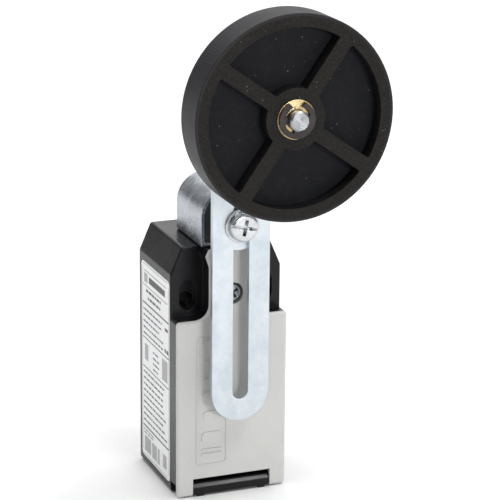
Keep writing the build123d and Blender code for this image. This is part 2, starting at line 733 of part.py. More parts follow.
# Cam drum on the shaft with a flat towards the plunger
with BuildPart() as cam:
    bar_y(CAM_RADIUS, behind(CAM_FRONT), behind(CAM_BACK))
    block(
        (-CAM_RADIUS, CAM_RADIUS),
        (behind(9.0), behind(16.0)),
        (SHAFT_HEIGHT - CAM_RADIUS - 1, SHAFT_HEIGHT - CAM_FLAT),
        Mode.SUBTRACT,
    )
    bar_y(SHAFT_RADIUS + 0.03, behind(9.0), behind(16.0), mode=Mode.SUBTRACT)
cam.part.label = "cam"

# Washer and pan-head screw that clamp the lever
with BuildPart() as clamp_washer:
    bar_y(WASHER_RADIUS, ahead(LEVER_FRONT + PLAY + WASHER_THICK), ahead(LEVER_FRONT + PLAY))
    bar_y(CLAMP_BORE, ahead(LEVER_FRONT + 1), ahead(LEVER_FRONT), mode=Mode.SUBTRACT)
    chamfer(clamp_washer.faces().sort_by(Axis.Y)[0].edges(), length=0.12)
clamp_washer.part.label = "clamp_washer"

SCREW_FACE = LEVER_FRONT + CLAMP_FACE
SCREW_SEAT = LEVER_FRONT + PLAY + WASHER_THICK + 0.01
with BuildPart() as clamp_screw:
    bar_y(CLAMP_HEAD, ahead(SCREW_FACE), ahead(SCREW_SEAT))
    fillet(clamp_screw.faces().sort_by(Axis.Y)[0].edges(), radius=CLAMP_ROUNDING)
    bar_y(CLAMP_SHANK, ahead(SCREW_SEAT), behind(CLAMP_END))
    cross_recess(ahead(SCREW_FACE), 1.5, 4.2, 0.95, SHAFT_HEIGHT, DRIVE_TURN)
    with BuildSketch(facing(ahead(SCREW_FACE - 0.9))) as slot_line:
        with Locations(Location((0, level(SHAFT_HEIGHT)), DRIVE_TURN)):
            Rectangle(7.8, 0.7)
    extrude(slot_line.sketch, amount=1.0, mode=Mode.SUBTRACT)
clamp_screw.part.label = "clamp_screw"

# Lever: a slotted strip, cranked forward above the head to carry the roller
AXLE_TOP = AXLE_HEIGHT + LEVER_WIDTH / 2
with BuildPart() as lever_plate:
    with BuildSketch(Plane.YZ) as side_view:
        with BuildLine() as centre_line:
            Polyline(
                (ahead(LEVER_GAP + LEVER_THICK / 2), level(LEVER_LOW)),
                (ahead(LEVER_GAP + LEVER_THICK / 2), level(JOGGLE_LOW)),
                (ahead(UPPER_GAP + LEVER_THICK / 2), level(JOGGLE_HIGH)),
                (ahead(UPPER_GAP + LEVER_THICK / 2), level(AXLE_TOP)),
            )
            bends = [v for v in centre_line.vertices()
                     if level(JOGGLE_LOW) - 1 < v.Y < level(JOGGLE_HIGH) + 1]
            fillet(bends, radius=BEND_RADIUS)
        trace(line_width=LEVER_THICK)
    extrude(amount=LEVER_WIDTH / 2, both=True)
    with BuildSketch(facing(0)) as front_view:
        with Locations(Location((0, level((LEVER_LOW + AXLE_TOP) / 2)), 90)):
            SlotOverall(AXLE_TOP - LEVER_LOW, LEVER_WIDTH)
    extrude(amount=60, mode=Mode.INTERSECT)
    with BuildSketch(facing(ahead(LEVER_GAP - 1))) as slot:
        with Locations(Location((0, level((SLOT_LOW + SLOT_HIGH) / 2)), 90)):
            SlotOverall(SLOT_HIGH - SLOT_LOW, SLOT_WIDTH)
    extrude(amount=LEVER_THICK + 2, mode=Mode.SUBTRACT)
    bar_y(AXLE_RADIUS + 0.04, ahead(32.0), ahead(27.0), 0, AXLE_HEIGHT, Mode.SUBTRACT)
lever_plate.part.label = "lever_plate"

# Axle riveted into the lever, with a groove for the clip
with BuildPart() as roller_axle:
    bar_y(AXLE_RADIUS, ahead(ROLLER_FRONT + AXLE_PROUD), ahead(UPPER_GAP - 0.1), 0, AXLE_HEIGHT)
    chamfer(roller_axle.faces().sort_by(Axis.Y)[0].edges(), length=0.4)
    bar_y(RIVET_RADIUS, ahead(UPPER_GAP - PLAY), ahead(UPPER_GAP - 1.2), 0, AXLE_HEIGHT)
    fillet(roller_axle.faces().sort_by(Axis.Y)[-1].edges(), radius=0.6)
    with BuildSketch(facing(ahead(ROLLER_FRONT + 0.5))) as groove:
        with Locations((0, level(AXLE_HEIGHT))):
            Circle(AXLE_RADIUS + 0.5)
            Circle(GROOVE_RADIUS, mode=Mode.SUBTRACT)
    extrude(amount=0.75, mode=Mode.SUBTRACT)
roller_axle.part.label = "roller_axle"

# Spacer washer between the lever and the roller
with BuildPart() as spacer_washer:
    spacer_front = ahead(ROLLER_GAP - 0.08)
    bar_y(SPACER_RADIUS, spacer_front, ahead(UPPER_GAP + LEVER_THICK + 0.04), 0, AXLE_HEIGHT)
    bar_y(AXLE_RADIUS + 0.04, ahead(32.0), ahead(29.0), 0, AXLE_HEIGHT, Mode.SUBTRACT)
spacer_washer.part.label = "spacer_washer"

# Clip that keeps the roller on its axle, open at the top
with BuildPart() as e_clip:
    with BuildSketch(facing(ahead(ROLLER_FRONT + 0.55))):
        with Locations((0, level(AXLE_HEIGHT))):
            Circle(CLIP_RADIUS)
            Circle(CLIP_INNER, mode=Mode.SUBTRACT)
            for angle in (0, 180, 270):
                with Locations(Location((0, 0), angle)):
                    with Locations((2.9, 0)):
                        Rectangle(1.9, 1.7)
            Circle(GROOVE_RADIUS + 0.04, mode=Mode.SUBTRACT)
        with BuildLine():
            Polyline(
                (0, level(AXLE_HEIGHT + CLIP_MOUTH)),
                (CLIP_RADIUS, level(AXLE_HEIGHT + CLIP_MOUTH + CLIP_RADIUS)),
                (-CLIP_RADIUS, level(AXLE_HEIGHT + CLIP_MOUTH + CLIP_RADIUS)),
                close=True,
            )
        make_face(mode=Mode.SUBTRACT)
    extrude(amount=CLIP_THICK)
e_clip.part.label = "e_clip"


def roller_panels(y_face, inward):
    """Four sunk panels between the rim, the spokes and the boss."""
    with BuildSketch(facing(y_face)) as panels:
        with Locations((0, level(AXLE_HEIGHT))):
            Circle(RIM_INNER)
            Circle(ROLLER_HUB, mode=Mode.SUBTRACT)
        for turn in (0, 90):
            with Locations(Location((0, level(AXLE_HEIGHT)), SPOKE_ANGLE + turn)):
                Rectangle(2 * ROLLER_RADIUS, SPOKE_WIDTH, mode=Mode.SUBTRACT)
        fillet(panels.vertices(), radius=0.4)
    extrude(panels.sketch, amount=inward, mode=Mode.SUBTRACT)


# Rubber roller with four spokes on each face
with BuildPart() as roller:
    bar_y(ROLLER_RADIUS, ahead(ROLLER_FRONT), ahead(ROLLER_GAP), 0, AXLE_HEIGHT)
    fillet(roller.edges().filter_by(GeomType.CIRCLE), radius=0.25)
    roller_panels(ahead(ROLLER_FRONT), -PANEL_RECESS)
    roller_panels(ahead(ROLLER_GAP), PANEL_RECESS)
    bar_y(BUSH_RADIUS + PLAY, ahead(ROLLER_FRONT + 1), ahead(ROLLER_GAP - 1), 0, AXLE_HEIGHT,
          Mode.SUBTRACT)
roller.part.label = "roller"

# Flanged brass bush pressed into the roller
with BuildPart() as roller_bush:
    bar_y(BUSH_RADIUS, ahead(ROLLER_FRONT + 0.2), ahead(ROLLER_GAP + 0.02), 0, AXLE_HEIGHT)
    bar_y(FLANGE_RADIUS, ahead(ROLLER_FRONT + FLANGE_PROUD), ahead(ROLLER_FRONT + 0.02), 0, AXLE_HEIGHT)
    bar_y(AXLE_RADIUS + 0.06, ahead(45.0), ahead(28.0), 0, AXLE_HEIGHT, Mode.SUBTRACT)
roller_bush.part.label = "roller_bush"

os.makedirs("parts", exist_ok=True)
export_step(body_housing.part, "parts/body_housing.step")
export_step(front_cover.part, "parts/front_cover.step")
export_step(cover_gasket.part, "parts/cover_gasket.step")
export_step(cover_screw.part, "parts/cover_screw.step")
export_step(hinge_bar.part, "parts/hinge_bar.step")
export_step(side_label.part, "parts/side_label.step")
export_step(head_casing.part, "parts/head_casing.step")
export_step(head_gasket.part, "parts/head_gasket.step")
export_step(head_cap.part, "parts/head_cap.step")
export_step(shaft_seal.part, "parts/shaft_seal.step")
export_step(shaft_bush.part, "parts/shaft_bush.step")
export_step(head_screw_front.part, "parts/head_screw_front.step")
export_step(head_screw_rear.part, "parts/head_screw_rear.step")
export_step(contact_block.part, "parts/contact_block.step")
export_step(block_screw_left.part, "parts/block_screw_left.step")
export_step(block_screw_right.part, "parts/block_screw_right.step")
export_step(terminal_upper_left.part, "parts/terminal_upper_left.step")
export_step(terminal_upper_right.part, "parts/terminal_upper_right.step")
export_step(terminal_lower_left.part, "parts/terminal_lower_left.step")
export_step(terminal_lower_right.part, "parts/terminal_lower_right.step")
export_step(screw_upper_left.part, "parts/screw_upper_left.step")
export_step(screw_upper_right.part, "parts/screw_upper_right.step")
export_step(screw_lower_left.part, "parts/screw_lower_left.step")
export_step(screw_lower_right.part, "parts/screw_lower_right.step")
export_step(plunger.part, "parts/plunger.step")
export_step(bridge_upper.part, "parts/bridge_upper.step")
export_step(bridge_lower.part, "parts/bridge_lower.step")
export_step(plunger_spring.part, "parts/plunger_spring.step")
export_step(shaft.part, "parts/shaft.step")
export_step(hub_disc.part, "parts/hub_disc.step")
export_step(cam.part, "parts/cam.step")
export_step(clamp_washer.part, "parts/clamp_washer.step")
export_step(clamp_screw.part, "parts/clamp_screw.step")
export_step(lever_plate.part, "parts/lever_plate.step")
export_step(roller_axle.part, "parts/roller_axle.step")
export_step(spacer_washer.part, "parts/spacer_washer.step")
export_step(e_clip.part, "parts/e_clip.step")
export_step(roller.part, "parts/roller.step")
export_step(roller_bush.part, "parts/roller_bush.step")
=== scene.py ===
import math
import random

import bmesh
import bpy
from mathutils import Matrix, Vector


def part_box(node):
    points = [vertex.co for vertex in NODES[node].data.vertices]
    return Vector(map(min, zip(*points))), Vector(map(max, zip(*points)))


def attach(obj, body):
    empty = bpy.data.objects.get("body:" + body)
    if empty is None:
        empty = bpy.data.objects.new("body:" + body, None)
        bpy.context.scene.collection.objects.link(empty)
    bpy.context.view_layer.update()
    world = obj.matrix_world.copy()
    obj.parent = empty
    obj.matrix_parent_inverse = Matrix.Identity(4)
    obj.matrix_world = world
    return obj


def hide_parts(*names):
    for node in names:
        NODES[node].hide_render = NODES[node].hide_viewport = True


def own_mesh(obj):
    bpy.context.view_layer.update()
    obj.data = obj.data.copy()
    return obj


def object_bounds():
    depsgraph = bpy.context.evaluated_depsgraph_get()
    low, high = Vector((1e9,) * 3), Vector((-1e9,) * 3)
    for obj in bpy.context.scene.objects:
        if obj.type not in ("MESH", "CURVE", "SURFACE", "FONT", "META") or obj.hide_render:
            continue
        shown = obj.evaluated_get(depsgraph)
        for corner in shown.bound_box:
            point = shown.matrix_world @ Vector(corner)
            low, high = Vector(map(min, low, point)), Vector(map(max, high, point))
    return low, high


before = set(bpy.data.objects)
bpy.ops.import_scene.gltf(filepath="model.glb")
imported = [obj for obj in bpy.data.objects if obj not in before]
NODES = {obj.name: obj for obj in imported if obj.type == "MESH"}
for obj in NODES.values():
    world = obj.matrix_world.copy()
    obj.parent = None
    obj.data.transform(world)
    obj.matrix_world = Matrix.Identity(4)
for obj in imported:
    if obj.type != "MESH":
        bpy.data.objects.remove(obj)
CAD_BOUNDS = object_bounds()
MM = 0.001
PATCH_LOW, PATCH_HIGH = 0.3, 0.7
PLAIN_SPECULAR = 0.5
RING_PITCH_MM = 0.16
# How far the painted recess shade reaches, and how dark it paints the recesses.
RECESS_MM, RECESS_SHADE_GAIN = 0.9, 0.16


# ---------------------------------------------------------------- finishes

class Finish:
    """A procedural surface, built up on one Principled shader."""

    def __init__(self, name, **uniform):
        self.material = bpy.data.materials.get(name) or bpy.data.materials.new(name)
        self.material.use_nodes = True
        self.nodes = self.material.node_tree.nodes
        self.links = self.material.node_tree.links
        self.nodes.clear()
        output = self.nodes.new("ShaderNodeOutputMaterial")
        self.shader = self.nodes.new("ShaderNodeBsdfPrincipled")
        self.links.new(self.shader.outputs["BSDF"], output.inputs["Surface"])
        for socket, value in uniform.items():
            self.shader.inputs[socket.replace("_", " ")].default_value = value
        self.place = self.nodes.new("ShaderNodeTexCoord").outputs["Object"]

    def feed(self, socket, source):
        """Sets a socket to a number or colour, or links it to an output."""
        if isinstance(source, bpy.types.NodeSocket):
            self.links.new(source, socket)
        else:
            socket.default_value = source

    def node(self, kind, inputs, result=0, **settings):
        made = self.nodes.new(kind)
        for key, value in settings.items():
            setattr(made, key, value)
        for key, value in inputs.items():
            self.feed(made.inputs[key], value)
        return made.outputs[result]

    def stretched(self, x, y, z):
        """Object coordinates scaled unevenly, for grain that runs one way."""
        return self.node("ShaderNodeMapping", {"Vector": self.place, "Scale": (x, y, z)})

    def noise(self, size_mm, detail=3.0, roughness=0.55, place=None):
        """Noise from 0 to 1 whose features are about size_mm across."""
        return self.node(
            "ShaderNodeTexNoise",
            {
                "Vector": place or self.place,
                "Scale": 1 / (size_mm * MM),
                "Detail": detail,
                "Roughness": roughness,
            },
        )

    def cells(self, size_mm):
        """Distance to the nearest of scattered points about size_mm apart."""
        return self.node(
            "ShaderNodeTexVoronoi", {"Vector": self.place, "Scale": 1 / (size_mm * MM)}, "Distance")

    def span(self, value, low, high, to_low, to_high):
        """Maps low..high to to_low..to_high, clamped."""
        return self.node(
            "ShaderNodeMapRange",
            {0: value, 1: low, 2: high, 3: to_low, 4: to_high},
        )

    def math(self, operation, a, b=0.0):
        return self.node("ShaderNodeMath", {0: a, 1: b}, operation=operation)

    def blend(self, factor, a, b):
        """Colour a where factor is 0 and colour b where it is 1."""
        made = self.nodes.new("ShaderNodeMix")
        made.data_type = "RGBA"
        self.feed(made.inputs[0], factor)
        self.feed(made.inputs[6], a)
        self.feed(made.inputs[7], b)
        return made.outputs[2]

    def axis(self, letter):
        """One object coordinate, in metres."""
        return self.node("ShaderNodeSeparateXYZ", {0: self.place}, letter)

    def from_axis(self, x, z):
        """Distance from an axis that runs along Y."""
        squares = self.math("MULTIPLY", x, x), self.math("MULTIPLY", z, z)
        return self.math("SQRT", self.math("ADD", *squares))

    def facing_axis(self, letter):
        """Size of the surface normal along an object axis, 0 to 1."""
        normal = self.nodes.new("ShaderNodeNewGeometry").outputs["Normal"]
        return self.math("ABSOLUTE", self.node("ShaderNodeSeparateXYZ", {0: normal}, letter))

    def rounded(self, radius_mm):
        """Normal with the edges softened by a small radius."""
        return self.node("ShaderNodeBevel", {"Radius": radius_mm * MM}, samples=4)

    def edges(self, radius_mm):
        """1 along sharp edges and 0 on flat surfaces."""
        flat = self.nodes.new("ShaderNodeNewGeometry").outputs["Normal"]
        agree = self.node(
            "ShaderNodeVectorMath",
            {0: self.rounded(radius_mm), 1: flat},
            "Value",
            operation="DOT_PRODUCT",
        )
        return self.span(agree, 0.999, 0.88, 0.0, 1.0)

    def bump(self, height, depth_mm, normal=None):
        inputs = {"Strength": 1.0, "Distance": depth_mm * MM, "Height": height}
        if normal is not None:
            inputs["Normal"] = normal
        return self.node("ShaderNodeBump", inputs)

    def crevice(self, reach_mm):
        """0 in recesses narrower than the reach and 1 in the open."""
        open_sky = self.node(
            "ShaderNodeAmbientOcclusion", {"Distance": reach_mm * MM}, "AO", samples=6)
        return self.span(open_sky, 0.25, 0.85, 0.0, 1.0)

    def patches(self, noise, to_low=0, to_high=1):
        """The middle band of a noise, where nearly all of its values lie, spread over a range."""
        return self.span(noise, PATCH_LOW, PATCH_HIGH, to_low, to_high)

    def finish(self, colour, roughness, normal):
        self.feed(self.shader.inputs["Base Color"], colour)
        self.feed(self.shader.inputs["Roughness"], roughness)
        self.feed(self.shader.inputs["Normal"], normal)
        return self.material


def grey(value, warm=0.0):
    """Grey colour in linear light, a little warmer or cooler."""
    return (value * (1 + warm), value, value * (1 - warm), 1.0)


def shade(colour, gain, lift=0.0):
    """The colour made lighter or darker."""
    return tuple(min(1.0, c * gain + lift) for c in colour[:3]) + (1.0,)


def moulded(name, colour, patch, roughness, grain_mm, grain_depth, edge_mm, wear_and_highlight_gain,
            specular=PLAIN_SPECULAR):
    """Injection-moulded plastic: fine spark-eroded grain, faint flow patches, and polished edges
    painted lighter, partly as wear and partly as a painted highlight.
    """
    f = Finish(name, Specular_IOR_Level=specular)
    clouds = f.noise(9.0, detail=4.0)
    grain = f.noise(grain_mm, detail=2.0, roughness=0.6)
    pits = f.cells(grain_mm * 2.2)
    edge_mask = f.edges(edge_mm)
    body = f.blend(f.patches(clouds), colour, patch)
    speck = f.blend(f.span(grain, 0.35, 0.7, 0, 0.35), body, shade(colour, 1.25))
    # Edges painted lighter: partly wear, and partly a painted highlight, such as the bright crest
    # of the hinge bar.
    tint = f.blend(f.math("MULTIPLY", edge_mask, wear_and_highlight_gain), speck, shade(colour, 2.2, 0.02))
    rough = f.math("ADD", f.patches(clouds, roughness - 0.04, roughness + 0.05),
                   f.math("MULTIPLY", edge_mask, -0.08))
    skin = f.math("ADD", grain, f.math("MULTIPLY", pits, 0.5))
    return f.finish(tint, rough, f.bump(skin, grain_depth, f.rounded(edge_mm)))


def plated(name, light, dark, roughness, along, edge_mm=0.12, scuff=0.5):
    """Plated sheet: pale clouds, fine rolling lines, hairline scuffs, nicks and brighter edges."""
    f = Finish(name, Metallic=1.0)
    clouds = f.noise(4.2, detail=5.0, roughness=0.6)
    fine = f.noise(0.5, detail=4.0, roughness=0.7)
    lines = f.noise(0.3, detail=3.0, roughness=0.7, place=f.stretched(*along))
    scuffs = f.noise(2.2, detail=7.0, roughness=0.8, place=f.stretched(2.6, 1.0, 0.7))
    nick_size = f.span(f.noise(5.0, detail=2.0), 0.52, 0.75, 0.0, 0.12)
    nicks = f.math("LESS_THAN", f.cells(1.9), nick_size)
    edge_mask = f.edges(edge_mm)
    tone = f.math("ADD", f.math("MULTIPLY", clouds, 0.75), f.math("MULTIPLY", fine, 0.25))
    sheet = f.blend(f.span(tone, 0.36, 0.64, 0, 1), dark, light)
    mark = f.math("MAXIMUM", f.span(scuffs, 0.64, 0.72, 0, scuff), f.math("MULTIPLY", nicks, 0.7))
    tint = f.blend(mark, sheet, shade(dark, 0.7))
    tint = f.blend(f.math("MULTIPLY", edge_mask, 0.55), tint, shade(light, 1.15))
    rough = f.math("ADD", f.patches(clouds, roughness - 0.05, roughness + 0.06),
                   f.math("MULTIPLY", lines, 0.08))
    relief = f.math("ADD", f.math("MULTIPLY", lines, 0.5), f.math("MULTIPLY", mark, -0.7))
    return f.finish(tint, rough, f.bump(relief, 0.010, f.rounded(edge_mm)))


def cast(name, light, dark, roughness):
    """Die-cast zinc: uneven grey, soft pitting and a faint tumbled texture."""
    f = Finish(name, Metallic=0.9)
    clouds = f.noise(3.2, detail=6.0, roughness=0.65)
    pits = f.cells(0.7)
    grain = f.noise(0.22, detail=3.0, roughness=0.7)
    edge_mask = f.edges(0.25)
    skin = f.blend(f.span(clouds, 0.36, 0.64, 0, 1), dark, light)
    stain = f.span(f.noise(1.1, detail=5.0, roughness=0.75), 0.57, 0.72, 0, 0.4)
    skin = f.blend(stain, skin, shade(dark, 0.6))
    tint = f.blend(f.math("MULTIPLY", edge_mask, 0.6), skin, shade(light, 1.3))
    rough = f.patches(clouds, roughness - 0.08, roughness + 0.1)
    relief = f.math("ADD", grain, f.math("MULTIPLY", f.span(pits, 0.0, 0.25, 0, 1), 0.8))
    return f.finish(tint, rough, f.bump(relief, 0.03, f.rounded(0.25)))


def turned(name, colour, roughness, centre_z, edge_mm=0.1, dot_mm=0.45):
    """Machined metal: fine rings round an axis along Y, a centre mark, and painted shade darkening
    the recesses.
    """
    f = Finish(name, Metallic=1.0)
    x, z = f.axis("X"), f.math("SUBTRACT", f.axis("Z"), centre_z)
    radius = f.from_axis(x, z)
    end = f.facing_axis("Y")
    rings = f.math("SINE", f.math("MULTIPLY", radius, 2 * math.pi / (RING_PITCH_MM * MM)))
    drift = f.noise(0.8, detail=4.0, roughness=0.6)
    along = f.noise(0.18, detail=2.0, roughness=0.6, place=f.stretched(0.2, 2.4, 0.2))
    height = f.math("ADD", f.math("MULTIPLY", f.math("MULTIPLY", rings, end), 0.35), along)
    edge_mask = f.edges(edge_mm)
    dot = f.span(radius, dot_mm * 0.5 * MM, dot_mm * MM, 1, 0)
    dot = f.math("MULTIPLY", dot, f.span(end, 0.9, 0.99, 0, 1))
    tone = f.blend(f.span(drift, 0.35, 0.65, 0, 1), shade(colour, 0.86), colour)
    tone = f.blend(f.math("MULTIPLY", dot, 0.6), tone, shade(colour, 1.25))
    tone = f.blend(f.math("MULTIPLY", edge_mask, 0.5), tone, shade(colour, 1.2))
    # Painted shade: recesses such as screw slots are darkened in colour, standing in for the shade
    # that falls in them.
    tone = f.blend(f.crevice(RECESS_MM), shade(colour, RECESS_SHADE_GAIN), tone)
    rough = f.patches(drift, roughness - 0.05, roughness + 0.07)
    return f.finish(tone, rough, f.bump(height, 0.012, f.rounded(edge_mm)))


def spring_wire(name):
    """Drawn wire with a faint lengthwise lustre and oil stains."""
    f = Finish(name, Metallic=1.0)
    stain = f.noise(0.9, detail=4.0, roughness=0.65)
    drawn = f.noise(0.06, detail=2.0, roughness=0.6)
    tint = f.blend(f.span(stain, 0.35, 0.65, 0, 1), grey(0.30, -0.02), grey(0.52, -0.01))
    return f.finish(tint, f.patches(stain, 0.26, 0.4), f.bump(drawn, 0.004))


def rubber(name, middle_y, centre_z, tread_radius):
    """Black moulded rubber: matt rim, bluish sunk panels, finely ribbed tread and dust."""
    rim_tones = (0.0062, 0.0056, 0.0052, 1), (0.0105, 0.0096, 0.0089, 1)
    panel_tones = (0.0052, 0.0056, 0.0078, 1), (0.0078, 0.0083, 0.0112, 1)
    tread_tones = (0.016, 0.0158, 0.019, 1), (0.025, 0.0247, 0.0285, 1)
    film_tone, mottle_tone = (0.024, 0.0225, 0.021, 1), (0.031, 0.0275, 0.024, 1)
    dust_tone = (0.20, 0.19, 0.18, 1)
    tread_ribs = 190.0
    f = Finish(name, Specular_IOR_Level=0.12)
    x, z = f.axis("X"), f.math("SUBTRACT", f.axis("Z"), centre_z)
    radius = f.from_axis(x, z)
    angle = f.math("ARCTAN2", x, z)
    from_middle = f.math("ABSOLUTE", f.math("SUBTRACT", f.axis("Y"), middle_y))
    on_tread = f.span(radius, (tread_radius - 0.5) * MM, (tread_radius - 0.05) * MM, 0, 1)
    clouds = f.noise(6.0, detail=5.0, roughness=0.6)
    fine = f.noise(0.35, detail=4.0, roughness=0.65)
    sunk = f.span(from_middle, 2.2 * MM, 4.4 * MM, 1, 0)
    rim = f.blend(f.patches(clouds), *rim_tones)
    panel = f.blend(f.patches(clouds), *panel_tones)
    base = f.blend(sunk, rim, panel)
    tread = f.blend(f.patches(clouds), *tread_tones)
    base = f.blend(on_tread, base, tread)
    film = f.span(f.noise(2.4, detail=6.0, roughness=0.75), 0.5, 0.75, 0, 0.35)
    base = f.blend(film, base, film_tone)
    mottle = f.span(f.noise(0.7, detail=5.0, roughness=0.8), 0.42, 0.66, 0, 0.5)
    base = f.blend(f.math("MULTIPLY", mottle, f.math("SUBTRACT", 1.0, sunk)), base, mottle_tone)
    speck_size = f.noise(3.0, detail=2.0, roughness=0.5)
    specks = f.math("LESS_THAN", f.cells(1.15), f.span(speck_size, 0.5, 0.72, 0.0, 0.16))
    base = f.blend(f.math("MULTIPLY", specks, 0.55), base, dust_tone)
    hatch = f.math("SINE", f.math("MULTIPLY", angle, tread_ribs))
    hatch = f.math("MULTIPLY", f.math("MULTIPLY", hatch, on_tread), 0.14)
    pores = f.span(f.cells(0.5), 0.0, 0.3, 0, 1)
    height = f.math("ADD", f.math("ADD", fine, hatch), f.math("MULTIPLY", pores, 0.4))
    rough = f.math("ADD", f.patches(clouds, 0.52, 0.62), f.math("MULTIPLY", on_tread, -0.14))
    return f.finish(base, rough, f.bump(height, 0.05, f.rounded(0.3)))


def seal_rubber(name):
    """Soft black seal material with a powdery surface."""
    f = Finish(name)
    clouds, fine = f.noise(2.0, detail=4.0), f.noise(0.15, detail=3.0, roughness=0.7)
    tint = f.blend(f.patches(clouds), grey(0.011), grey(0.02))
    return f.finish(tint, f.patches(clouds, 0.6, 0.75), f.bump(fine, 0.03, f.rounded(0.15)))


def film(name):
    """White label film: faint orange peel, slightly toned patches and a soft gloss."""
    f = Finish(name, Coat_Weight=0.25, Coat_Roughness=0.2)
    clouds, peel = f.noise(7.0, detail=3.0), f.noise(0.6, detail=3.0, roughness=0.6)
    tint = f.blend(f.patches(clouds), (0.84, 0.845, 0.86, 1), (0.88, 0.885, 0.90, 1))
    return f.finish(tint, f.patches(clouds, 0.34, 0.42), f.bump(peel, 0.01, f.rounded(0.1)))


def ink(name):
    """Dark print with uneven cover."""
    f = Finish(name)
    cover = f.noise(0.5, detail=4.0, roughness=0.7)
    tint = f.blend(f.span(cover, 0.4, 0.68, 0, 0.5), grey(0.035, -0.02), grey(0.13, -0.02))
    return f.finish(tint, f.patches(cover, 0.4, 0.5), f.bump(cover, 0.004))


def ink_light(name):
    """Grey printed tint."""
    f = Finish(name)
    cover = f.noise(0.6, detail=4.0, roughness=0.7)
    tint = f.blend(f.patches(cover), grey(0.36, -0.01), grey(0.44, -0.01))
    return f.finish(tint, f.patches(cover, 0.4, 0.5), f.bump(cover, 0.004))


def ground(name):
    """Pale studio floor with an almost even tone."""
    f = Finish(name, Specular_IOR_Level=0.2)
    clouds = f.noise(60.0, detail=3.0)
    tint = f.blend(f.patches(clouds), grey(0.87), grey(0.9))
    return f.finish(tint, f.patches(clouds, 0.8, 0.9), f.bump(clouds, 0.02))


roller_low, roller_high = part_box("roller")
roller_middle = (roller_low + roller_high) / 2
shaft_low, shaft_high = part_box("shaft")
shaft_z = (shaft_low.z + shaft_high.z) / 2

FINISHES = {
    # The housing has the strongest edge lightening, which is partly a painted highlight along the
    # hinge bar's crest.
    "housing_plastic": moulded(
        "housing_plastic", (0.0055, 0.0055, 0.0066, 1), (0.0078, 0.0078, 0.0092, 1), roughness=0.25,
        grain_mm=0.28, grain_depth=0.006, edge_mm=0.25, wear_and_highlight_gain=0.32, specular=0.22),
    "cover_plastic": moulded(
        "cover_plastic", (0.505, 0.504, 0.49, 1), (0.535, 0.534, 0.52, 1), roughness=0.46,
        grain_mm=0.24, grain_depth=0.010, edge_mm=0.2, wear_and_highlight_gain=0.06),
    "gasket_rubber": seal_rubber("gasket_rubber"),
    "label_film": film("label_film"),
    "cast_zinc": cast(
        "cast_zinc", light=(0.47, 0.50, 0.54, 1), dark=(0.31, 0.335, 0.37, 1), roughness=0.23),
    "cap_plastic": moulded(
        "cap_plastic", (0.016, 0.018, 0.017, 1), (0.022, 0.025, 0.023, 1), roughness=0.42,
        grain_mm=0.2, grain_depth=0.012, edge_mm=0.15, wear_and_highlight_gain=0.15),
    "bronze": turned("bronze", (0.74, 0.57, 0.31, 1), roughness=0.27, centre_z=roller_middle.z),
    "contact_plastic": moulded(
        "contact_plastic", (0.62, 0.60, 0.54, 1), (0.66, 0.64, 0.58, 1), roughness=0.42,
        grain_mm=0.2, grain_depth=0.010, edge_mm=0.15, wear_and_highlight_gain=0.1),
    "contact_brass": plated(
        "contact_brass", light=(0.78, 0.60, 0.30, 1), dark=(0.62, 0.46, 0.22, 1), roughness=0.3,
        along=(4, 4, 0.4)),
    "zinc_screw": turned(
        "zinc_screw", (0.60, 0.615, 0.635, 1), roughness=0.2, centre_z=shaft_z, edge_mm=0.08,
        dot_mm=0.2),
    "zinc_plate": plated(
        "zinc_plate", light=(0.60, 0.64, 0.67, 1), dark=(0.48, 0.53, 0.57, 1), roughness=0.34,
        along=(2.2, 2.2, 0.25)),
    "shaft_steel": turned(
        "shaft_steel", (0.36, 0.37, 0.385, 1), roughness=0.3, centre_z=roller_middle.z),
    "clip_steel": plated(
        "clip_steel", light=(0.06, 0.054, 0.053, 1), dark=(0.038, 0.034, 0.034, 1), roughness=0.42,
        along=(2, 2, 2), edge_mm=0.1, scuff=0.3),
    "roller_rubber": rubber(
        "roller_rubber", roller_middle.y, roller_middle.z, tread_radius=25.0),
    "spring_steel": spring_wire("spring_steel"),
}
INK = ink("label_ink")
INK_LIGHT = ink_light("label_tint")
for node in NODES.values():
    for place in node.material_slots:
        place.material = FINISHES[place.material.name]


# ------------------------------------------------------------ extra pieces

BOX_SIDES = (0, 1, 3, 2), (4, 6, 7, 5), (0, 4, 5, 1), (2, 3, 7, 6), (0, 2, 6, 4), (1, 5, 7, 3)


def add_box(mesh, low, high):
    """Adds a closed box between two corners."""
    corners = [mesh.verts.new((x, y, z)) for x in (low[0], high[0])
               for y in (low[1], high[1]) for z in (low[2], high[2])]
    for side in BOX_SIDES:
        mesh.faces.new([corners[i] for i in side])


def add_prism(mesh, outline, offset):
    """Adds a closed prism: a flat outline and its copy shifted by an offset."""
    near = [mesh.verts.new(p) for p in outline]
    far = [mesh.verts.new(Vector(p) + Vector(offset)) for p in outline]
    mesh.faces.new(near)
    mesh.faces.new(far[::-1])
    for i in range(len(near)):
        j = (i + 1) % len(near)
        mesh.faces.new((near[j], near[i], far[i], far[j]))


def add_coil(mesh, sections):
    """Joins a row of closed sections into one closed body."""
    rings = [[mesh.verts.new(p) for p in section] for section in sections]
    sides = len(rings[0])
    for here, there in zip(rings, rings[1:]):
        for i in range(sides):
            j = (i + 1) % sides
            mesh.faces.new((here[i], here[j], there[j], there[i]))
    mesh.faces.new(rings[0][::-1])
    mesh.faces.new(rings[-1])


def piece(name, mesh, body, finish, bevel=0.0):
    """Turns a bmesh into a named piece that rides on a body."""
    bmesh.ops.recalc_face_normals(mesh, faces=mesh.faces)
    data = bpy.data.meshes.new(name)
    mesh.to_mesh(data)
    mesh.free()
    made = bpy.data.objects.new(name, data)
    bpy.context.scene.collection.objects.link(made)
    made.data.materials.append(finish)
    if bevel:
        soften = made.modifiers.new("soften", "BEVEL")
        soften.width = bevel * MM
        soften.segments = 2
        soften.limit_method = "ANGLE"
    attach(made, body)
    return made


